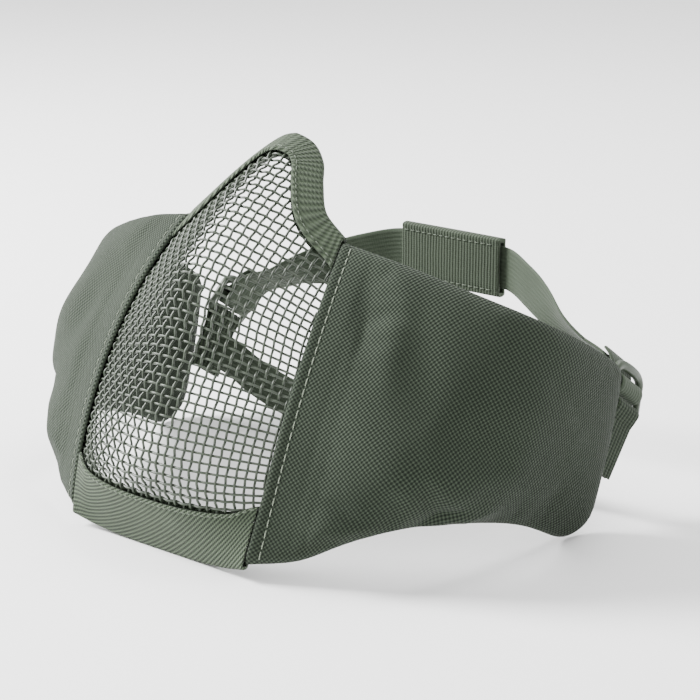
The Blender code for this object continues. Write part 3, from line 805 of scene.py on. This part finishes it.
LOCK_FRAME = (
    # across, along, height, half width in the plane, half thickness
    (-8.8, 0.0, 0.0, 1.15, 1.15),
    (-9.6, 1.6, 0.0, 1.20, 1.15),
    (-9.7, 5.0, 0.0, 1.25, 1.25),
    (-9.6, 9.0, 0.1, 1.35, 1.35),
    (-9.0, 12.0, 0.3, 1.60, 1.45),
    (-6.6, 13.7, 0.5, 1.75, 1.55),
    (-2.5, 14.1, 0.9, 1.75, 1.60),
    (2.5, 14.1, 0.9, 1.75, 1.60),
    (6.6, 13.7, 0.5, 1.75, 1.55),
    (9.0, 12.0, 0.3, 1.60, 1.45),
    (9.6, 9.0, 0.1, 1.35, 1.35),
    (9.7, 5.0, 0.0, 1.25, 1.25),
    (9.6, 1.6, 0.0, 1.20, 1.15),
    (8.8, 0.0, 0.0, 1.15, 1.15),
)


def ladder_lock(name, mirror, material):
    """Moulded frame: a bowed top bar and two rails run into the bottom bar, and a middle bar crosses."""
    across, up, out = axes_for(LOCK_UP)
    pivot = lock_pivot()
    flip = MIRROR if mirror else np.ones(3)
    bm = bmesh.new()

    def at(places):
        places = np.asarray(places, float)
        return (pivot + places[:, :1] * across + places[:, 1:2] * up + places[:, 2:3] * out) * flip

    frame_line = through(LOCK_FRAME, np.linspace(0, 1, 90))
    sweep(bm, at(frame_line), frame_line[:, 3], frame_line[:, 4], out * flip)
    b = np.linspace(-9.6, 9.6, 24)
    for along, half in ((0.0, 1.15), (7.3, 1.1)):
        line = np.stack((b, np.full_like(b, along), np.zeros_like(b)), -1)
        sweep(bm, at(line), np.full_like(b, half), np.full_like(b, half), out * flip)
    for edge in (-8.9, 8.9):
        length = np.linspace(-0.2, 7.4, 12)
        line = np.stack((np.full_like(length, edge), length, np.zeros_like(length)), -1)
        sweep(bm, at(line), np.full_like(length, 0.9), np.full_like(length, 1.25), out * flip)
    bmesh.ops.recalc_face_normals(bm, faces=bm.faces)
    mesh = bpy.data.meshes.new(name)
    bm.to_mesh(mesh)
    bm.free()
    mesh.materials.append(material)
    made = bpy.data.objects.new(name, mesh)
    bpy.context.collection.objects.link(made)
    apply_modifier(made, "REMESH", mode="VOXEL", voxel_size=0.00028)
    apply_modifier(made, "SMOOTH", factor=0.6, iterations=5)
    made.data.shade_smooth()
    return made


def back_pad():
    """Flat sleeve of ribbed webbing, open at both ends, with folded top and bottom edges."""
    half = PAD_HEIGHT / 2
    z = np.linspace(-half + 0.9, half - 0.9, 64)
    relief = -0.12 * np.exp(-((np.abs(z) - half + 2.6) / 0.6) ** 2)
    turn = np.linspace(math.pi / 2, -math.pi / 2, 9)[1:-1]
    outer_gap, inner_gap = 2.2, 1.15
    top = np.stack(((half - 0.9) + 0.9 * np.cos(turn), outer_gap * np.sin(turn)), -1)
    outline = np.vstack((np.stack((z, outer_gap + relief), -1), top,
                         np.stack((z[::-1], -outer_gap - relief[::-1]), -1), top[::-1] * (-1, 1)))
    hole = np.array([(s * math.copysign(min(abs(c), half - 1.4), c), n) for s, c, n in
                     [(1, v, inner_gap) for v in z[::4]] + [(1, v, -inner_gap) for v in z[::-4]]])
    x = np.linspace(-PAD_LENGTH / 2, PAD_LENGTH / 2, 61)
    shape = Shape()
    bow = 0.25 * np.cos(math.pi * x / PAD_LENGTH)

    def rings(loop):
        points = np.zeros((len(x), len(loop), 3))
        points[..., 0] = x[:, None]
        points[..., 1] = PAD_Y + loop[None, :, 1] + np.sign(loop[None, :, 1]) * bow[:, None]
        points[..., 2] = PAD_Z + loop[None, :, 0]
        return points

    skin = shape.add(rings(outline), np.stack(np.broadcast_arrays(x[:, None], outline[None, :, 0]), -1))
    lining = shape.add(rings(hole), np.stack(np.broadcast_arrays(x[:, None], hole[None, :, 0]), -1))
    shape.grid(skin[:, ::-1], closed=True)
    shape.grid(lining, closed=True)
    return shape, skin, lining


def close_ends(made, skin, lining):
    """Bridges the sleeve's skin and lining at both ends, so that the sleeve is one closed form."""
    bm = bmesh.new()
    bm.from_mesh(made.data)
    bm.verts.ensure_lookup_table()
    for end in (0, -1):
        loops = []
        for ring in (skin[end], lining[end]):
            pairs = zip(ring, np.roll(ring, -1))
            loops += [bm.edges.get((bm.verts[a], bm.verts[b])) for a, b in pairs]
        bmesh.ops.bridge_loops(bm, edges=loops)
    bmesh.ops.recalc_face_normals(bm, faces=bm.faces)
    bm.to_mesh(made.data)
    bm.free()
    made.data.shade_smooth()


# ---------------------------------------------------------------- materials

class Graph:
    """Small helper for procedural materials on the pieces' millimetre coordinates."""

    def __init__(self, name, roughness, sheen=0.0, specular=0.5):
        self.material = bpy.data.materials.new(name)
        self.material.use_nodes = True
        self.tree = self.material.node_tree
        self.shader = self.tree.nodes["Principled BSDF"]
        self.shader.inputs["Roughness"].default_value = roughness
        self.shader.inputs["Sheen Weight"].default_value = sheen
        self.shader.inputs["Sheen Roughness"].default_value = 0.5
        self.shader.inputs["Specular IOR Level"].default_value = specular

    def node(self, kind, **inputs):
        made = self.tree.nodes.new(kind)
        for key, value in inputs.items():
            self.put(made.inputs[key.replace("_", " ")], value)
        return made

    def put(self, socket, value):
        if isinstance(value, bpy.types.NodeSocket):
            self.tree.links.new(value, socket)
        else:
            socket.default_value = value

    def math(self, operation, *values):
        made = self.tree.nodes.new("ShaderNodeMath")
        made.operation = operation
        for socket, value in zip(made.inputs, values):
            self.put(socket, value)
        return made.outputs[0]

    def places(self):
        made = self.tree.nodes.new("ShaderNodeUVMap")
        made.uv_map = "millimetres"
        split = self.node("ShaderNodeSeparateXYZ", Vector=made.outputs[0])
        return split.outputs[0], split.outputs[1]

    def wave(self, value, pitch, shift=0.0):
        turned = self.math("MULTIPLY_ADD", value, 2 * math.pi / pitch, shift)
        return self.math("SINE", turned)

    def noise(self, scale, detail=3.0):
        place = self.tree.nodes.new("ShaderNodeTexCoord")
        made = self.node("ShaderNodeTexNoise", Vector=place.outputs["Object"], Scale=scale, Detail=detail)
        return made.outputs[0]

    def colour(self, factor, dark, light, start=0.0, end=1.0):
        ramp = self.tree.nodes.new("ShaderNodeValToRGB")
        ramp.color_ramp.elements[0].position = start
        ramp.color_ramp.elements[1].position = end
        ramp.color_ramp.elements[0].color = (*dark, 1)
        ramp.color_ramp.elements[1].color = (*light, 1)
        self.put(ramp.inputs[0], factor)
        return ramp.outputs[0]

    def finish(self, colour, height=None, distance=0.0, strength=1.0):
        self.put(self.shader.inputs["Base Color"], colour)
        if height is not None:
            bump = self.node("ShaderNodeBump", Height=height, Distance=distance, Strength=strength)
            self.tree.links.new(bump.outputs[0], self.shader.inputs["Normal"])
        return self.material


def shade_from_relief_and_tone(graph, relief_height, variation, amount):
    """Relief height, -1 to 1, brought to 0 to 1 as painted shade that is darker in the relief's low parts,
    and shifted by slow variation of the cloth's own tone.
    """
    level = graph.math("MULTIPLY_ADD", relief_height, 0.38, 0.5)
    shift = graph.math("MULTIPLY_ADD", variation, amount, -amount / 2)
    return graph.math("ADD", level, shift)


def oxford_cloth(name, dark, light, pitch=0.78):
    graph = Graph(name, 0.85, sheen=0.05, specular=0.15)
    u, v = graph.places()
    drift = graph.math("MULTIPLY", graph.noise(90.0), 0.5)
    warp = graph.wave(graph.math("ADD", u, drift), 2 * pitch)
    weave = graph.math("MULTIPLY", warp, graph.wave(v, 2 * pitch))
    fine = graph.math("MULTIPLY_ADD", graph.noise(1800.0, 2.0), 0.5, -0.25)
    height = graph.math("ADD", weave, fine)
    # painted shade: the colour darkens in the weave's low parts, with the cloth's own random tone on top
    shade = shade_from_relief_and_tone(graph, height, graph.noise(45.0), 0.14)
    return graph.finish(graph.colour(shade, dark, light, 0.3, 0.95), height, 0.0002, 0.9)


def knit_cloth(name, dark, light):
    graph = Graph(name, 0.95, sheen=0.1, specular=0.1)
    u, v = graph.places()
    weave = graph.math("MULTIPLY", graph.wave(u, 1.3), graph.wave(v, 0.9))
    # painted shade: the colour darkens in the knit's low parts, with the cloth's own random tone on top
    shade = shade_from_relief_and_tone(graph, weave, graph.noise(60.0), 0.5)
    return graph.finish(graph.colour(shade, dark, light), weave, 0.00012, 0.7)


def dashed_webbing(name, dark, light):
    """Nose binding: rows of short slanting dashes between lengthwise ribs."""
    graph = Graph(name, 0.8, sheen=0.05, specular=0.2)
    u, v = graph.places()
    slant = graph.math("MULTIPLY_ADD", v, 0.9, u)
    dashes = graph.math("MULTIPLY", graph.wave(slant, 2.2), graph.wave(v, 2.7))
    height = graph.math("ADD", dashes, graph.math("MULTIPLY", graph.noise(1500.0, 2.0), 0.4))
    # painted shade: the colour darkens in the dashes' low parts, with the tape's own random tone on top
    shade = shade_from_relief_and_tone(graph, dashes, graph.noise(60.0), 0.4)
    return graph.finish(graph.colour(shade, dark, light), height, 0.0003, 0.9)


def twill_webbing(name, dark, light):
    """Chin binding: slanting twill ribs that steepen along the tape, with fine yarns across them."""
    graph = Graph(name, 0.8, sheen=0.05, specular=0.2)
    u, v = graph.places()
    steepening = graph.math("MULTIPLY_ADD", u, 0.0020, 0.42)
    across = graph.math("MULTIPLY_ADD", u, -0.0052, 1.0)
    slant = graph.math("ADD", graph.math("MULTIPLY", u, steepening), graph.math("MULTIPLY", v, across))
    ribs = graph.wave(slant, 1.25)
    yarns = graph.math("MULTIPLY", graph.wave(graph.math("MULTIPLY_ADD", v, -0.4, u), 0.9), 0.3)
    height = graph.math("ADD", ribs, yarns)
    # painted shade: the colour darkens between the twill ribs, with the tape's own random tone on top
    shade = shade_from_relief_and_tone(graph, height, graph.noise(60.0), 0.4)
    return graph.finish(graph.colour(shade, dark, light), height, 0.00032, 0.9)


def elastic(name, dark, light):
    graph = Graph(name, 0.75, sheen=0.05, specular=0.25)
    u, v = graph.places()
    yarns = graph.math("MULTIPLY", graph.wave(u, 0.9), 0.2)
    ribs = graph.math("MULTIPLY", graph.wave(v, 1.6), 0.6)
    height = graph.math("ADD", yarns, ribs)
    # painted shade: the colour darkens between the ribs, with the strap's own random tone on top
    shade = shade_from_relief_and_tone(graph, height, graph.noise(70.0), 0.4)
    return graph.finish(graph.colour(shade, dark, light), height, 0.0001, 0.7)


def pad_webbing(name, dark, light):
    """Back pad: fine ribs across the strap's direction."""
    graph = Graph(name, 0.8, sheen=0.05, specular=0.2)
    u, v = graph.places()
    ribs = graph.wave(graph.math("ADD", u, graph.math("MULTIPLY", graph.noise(120.0), 0.5)), 1.35)
    height = graph.math("ADD", ribs, graph.math("MULTIPLY", graph.wave(v, 0.8), 0.25))
    # painted shade: the colour darkens between the ribs, with the pad's own random tone on top
    shade = shade_from_relief_and_tone(graph, height, graph.noise(60.0), 0.4)
    return graph.finish(graph.colour(shade, dark, light), height, 0.00014, 0.8)


def tab_webbing(name, dark, light):
    """Tab: stiff webbing with deep lengthwise ribs, crossed by short yarns."""
    graph = Graph(name, 0.85, sheen=0.05, specular=0.15)
    u, v = graph.places()
    rows = graph.math("MULTIPLY", graph.wave(u, 1.1), 0.45)
    height = graph.math("ADD", graph.wave(v, 2.0, 1.2), rows)
    # painted shade: the colour darkens between the ribs, with the tab's own random tone on top
    shade = shade_from_relief_and_tone(graph, height, graph.noise(70.0), 0.3)
    return graph.finish(graph.colour(shade, dark, light, 0.1, 1.0), height, 0.0002, 0.9)


def coated_wire(name, dark, light):
    graph = Graph(name, 0.42, specular=0.5)
    colour = graph.colour(graph.noise(220.0), dark, light)
    return graph.finish(colour, graph.noise(2500.0, 2.0), 0.00006, 0.5)


def moulded_plastic(name, dark, light):
    graph = Graph(name, 0.42, specular=0.45)
    colour = graph.colour(graph.noise(150.0), dark, light)
    return graph.finish(colour, graph.noise(4000.0, 2.0), 0.00003, 0.5)


def thread(name, dark, light):
    graph = Graph(name, 0.7, sheen=0.2)
    u, v = graph.places()
    twist = graph.wave(graph.math("MULTIPLY_ADD", v, 0.15, u), 0.7)
    # painted shade: the colour darkens in the twist's grooves, with the thread's own random tone on top
    shade = shade_from_relief_and_tone(graph, twist, graph.noise(300.0), 0.3)
    return graph.finish(graph.colour(shade, dark, light), twist, 0.00008, 0.8)


FABRIC = oxford_cloth("oxford_cloth", (0.0068, 0.0108, 0.0064), (0.053, 0.070, 0.0465))
LINING = knit_cloth("knit_lining", (0.010, 0.015, 0.009), (0.034, 0.046, 0.030))
NOSE_WEBBING = dashed_webbing("dashed_webbing", (0.009, 0.014, 0.008), (0.084, 0.112, 0.070))
CHIN_WEBBING = twill_webbing("twill_webbing", (0.007, 0.011, 0.006), (0.098, 0.131, 0.082))
ELASTIC = elastic("elastic_webbing", (0.029, 0.040, 0.025), (0.046, 0.063, 0.039))
TAB_WEBBING = tab_webbing("tab_webbing", (0.011, 0.016, 0.010), (0.044, 0.060, 0.037))
PAD_WEBBING = pad_webbing("pad_webbing", (0.019, 0.027, 0.016), (0.044, 0.059, 0.037))
WIRE = coated_wire("coated_wire", (0.020, 0.028, 0.017), (0.050, 0.067, 0.043))
PLASTIC = moulded_plastic("moulded_plastic", (0.034, 0.047, 0.029), (0.046, 0.062, 0.039))
THREAD = thread("sewing_thread", (0.14, 0.17, 0.12), (0.30, 0.35, 0.26))
TONAL_THREAD = thread("tonal_thread", (0.05, 0.07, 0.04), (0.13, 0.17, 0.11))


# ---------------------------------------------------------------- assembly

def side_name(side, name):
    return f"{side}_{name}"


def place_wing(side):
    """Wing, its hem stitching, tab, lock and straps; the stitching, tab and lock are put on the bodies
    that carry them.
    """
    mirror = side == "right"
    wing, lock = side_name(side, "wing"), side_name(side, "lock")

    def keep(shape):
        return shape.mirrored() if mirror else shape

    shape, free = wing_shell(side)
    shell = keep(shape).build(side_name(side, "padded_wing"), FABRIC, "wing_fabric")
    shell.data.materials.append(LINING)
    for polygon in shell.data.polygons[shape.lined[0]:shape.lined[1]]:
        polygon.material_index = 1
    relax_as_cloth(shell, free, 1.5, CLOTH_MOVE)
    apply_modifier(shell, "SUBSURF", levels=1, render_levels=1)
    shell.data.shade_smooth()
    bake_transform(shell)
    layers = ("hem", "edge_tape", "wing_cover", "wing_foam", "wing_lining")
    nodes = [side_name(side, layer) for layer in layers]
    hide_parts(*nodes)

    v = np.linspace(0.012, 0.985, 140)
    distance = np.full_like(v, HEM_START + STITCH_INSET)
    normal = RULER.normal(distance, v)
    seam = stitches(RULER.at(distance, v) + normal * (OUTER - 0.1), normal)
    hem_stitches = keep(seam).build(side_name(side, "hem_stitches"), THREAD, "wing_fabric")
    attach(hem_stitches, "front")

    webbing = keep(tab()).build(side_name(side, "sewn_tab"), TAB_WEBBING, "strap_webbing")
    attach(webbing, wing)
    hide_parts(side_name(side, "tab"))

    buckle = ladder_lock(side_name(side, "moulded_lock"), mirror, PLASTIC)
    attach(buckle, lock)
    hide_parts(side_name(side, "ladder_lock"))

    threaded = keep(strap_in_lock()).build(side_name(side, "threaded_strap"), ELASTIC, "strap_webbing")
    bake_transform(threaded)
    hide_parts(side_name(side, "strap_end"))

    strap = keep(upper_strap()).build(side_name(side, "head_strap"), ELASTIC, "strap_webbing")
    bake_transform(strap)
    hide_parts(side_name(side, "upper_strap"))

    neck = keep(lower_strap()).build(side_name(side, "neck_strap"), ELASTIC, "strap_webbing")
    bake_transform(neck)
    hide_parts(side_name(side, "lower_strap"))


def place_front():
    cloth = wire_cloth().build("woven_wire", WIRE, "painted_wire")
    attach(cloth, "front")
    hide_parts("mesh_panel")

    shape, spine, normals = nose_binding()
    nose = shape.build("nose_webbing", NOSE_WEBBING, "binding_webbing")
    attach(nose, "front")
    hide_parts("nose_binding")
    row = stitches(spine[:, 10] + normals[:, 10] * (OUTER - 0.15), normals[:, 10], 2.6, 1.9, 0.2)
    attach(row.build("nose_stitches", TONAL_THREAD, "binding_webbing"), "front")

    shape, spine, normals = chin_binding()
    chin = shape.build("chin_webbing", CHIN_WEBBING, "binding_webbing")
    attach(chin, "front")
    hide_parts("chin_binding")
    row = stitches(spine[:, 15] + normals[:, 15] * (OUTER - 0.15), normals[:, 15], 2.6, 1.9, 0.2)
    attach(row.build("chin_stitches", TONAL_THREAD, "binding_webbing"), "front")


def place_pad():
    shape, skin, lining = back_pad()
    pad = shape.build("strap_pad", PAD_WEBBING, "wing_fabric")
    close_ends(pad, skin, lining)
    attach(pad, "back_pad")
    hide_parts("back_pad_outer", "back_pad_inner")
    x = np.linspace(-PAD_LENGTH / 2 + 1, PAD_LENGTH / 2 - 1, 60)
    for label, face in (("inner", -1), ("outer", 1)):
        for height, edge in (("top", 1), ("bottom", -1)):
            y = PAD_Y + face * 2.35 + face * 0.25 * np.cos(math.pi * x / PAD_LENGTH)
            z = np.full_like(x, PAD_Z + edge * (PAD_HEIGHT / 2 - 2.6))
            path = np.stack((x, y, z), -1)
            row = stitches(path, np.repeat(((0, float(face), 0),), len(x), 0), 2.8, 2.0, 0.18)
            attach(row.build(f"pad_stitches_{label}_{height}", TONAL_THREAD, "wing_fabric"), "back_pad")


def plain_material(name, colour, roughness):
    made = bpy.data.materials.new(name)
    made.use_nodes = True
    made.node_tree.nodes["Principled BSDF"].inputs["Base Color"].default_value = (*colour, 1)
    made.node_tree.nodes["Principled BSDF"].inputs["Roughness"].default_value = roughness
    return made


def studio():
    """Pale floor, soft lights and the camera."""
    mesh = bpy.data.meshes.new("floor")
    reach = 4.0
    corners = ((-reach, -reach, 0), (reach, -reach, 0), (reach, reach, 0), (-reach, reach, 0))
    mesh.from_pydata(corners, [], [(0, 1, 2, 3)])
    mesh.materials.append(plain_material("pale_floor", (0.92, 0.92, 0.92), 0.9))
    floor = bpy.data.objects.new("floor", mesh)
    bpy.context.collection.objects.link(floor)
    world_data = bpy.data.worlds.new("studio")
    world_data.use_nodes = True
    world_data.node_tree.nodes["Background"].inputs[0].default_value = (1.0, 1.0, 1.0, 1)
    world_data.node_tree.nodes["Background"].inputs[1].default_value = 1.35
    bpy.context.scene.world = world_data
    target = np.array((0.0, 0.0, 0.06))
    for name, place, size, energy in (
        ("key_light", (-1.0, -0.45, 0.80), 0.5, 68.0),
        ("top_light", (0.1, 0.6, 1.2), 0.7, 12.0),
    ):
        data = bpy.data.lights.new(name, "AREA")
        data.size = size
        data.energy = energy
        lamp = bpy.data.objects.new(name, data)
        bpy.context.collection.objects.link(lamp)
        lamp.location = place
        aim(lamp, target - np.array(place))
    camera_data = bpy.data.cameras.new("camera")
    camera_data.lens = 108.0
    camera_data.sensor_width = 36.0
    camera = bpy.data.objects.new("camera", camera_data)
    bpy.context.collection.objects.link(camera)
    azimuth, elevation, distance = math.radians(40.6), math.radians(16.1), 650.0
    level = math.cos(elevation)
    back = np.array((math.sin(azimuth) * level, -math.cos(azimuth) * level, math.sin(elevation)))
    looked_at = np.array((67.6, 19.2, 78.5))
    camera.location = world(looked_at + back * distance)
    aim(camera, -back)
    bpy.context.scene.camera = camera


def aim(thing, direction):
    thing.rotation_euler = Vector(direction).to_track_quat("-Z", "Y").to_euler()


studio()
place_front()
place_wing("left")
place_wing("right")
place_pad()
bpy.context.view_layer.update()
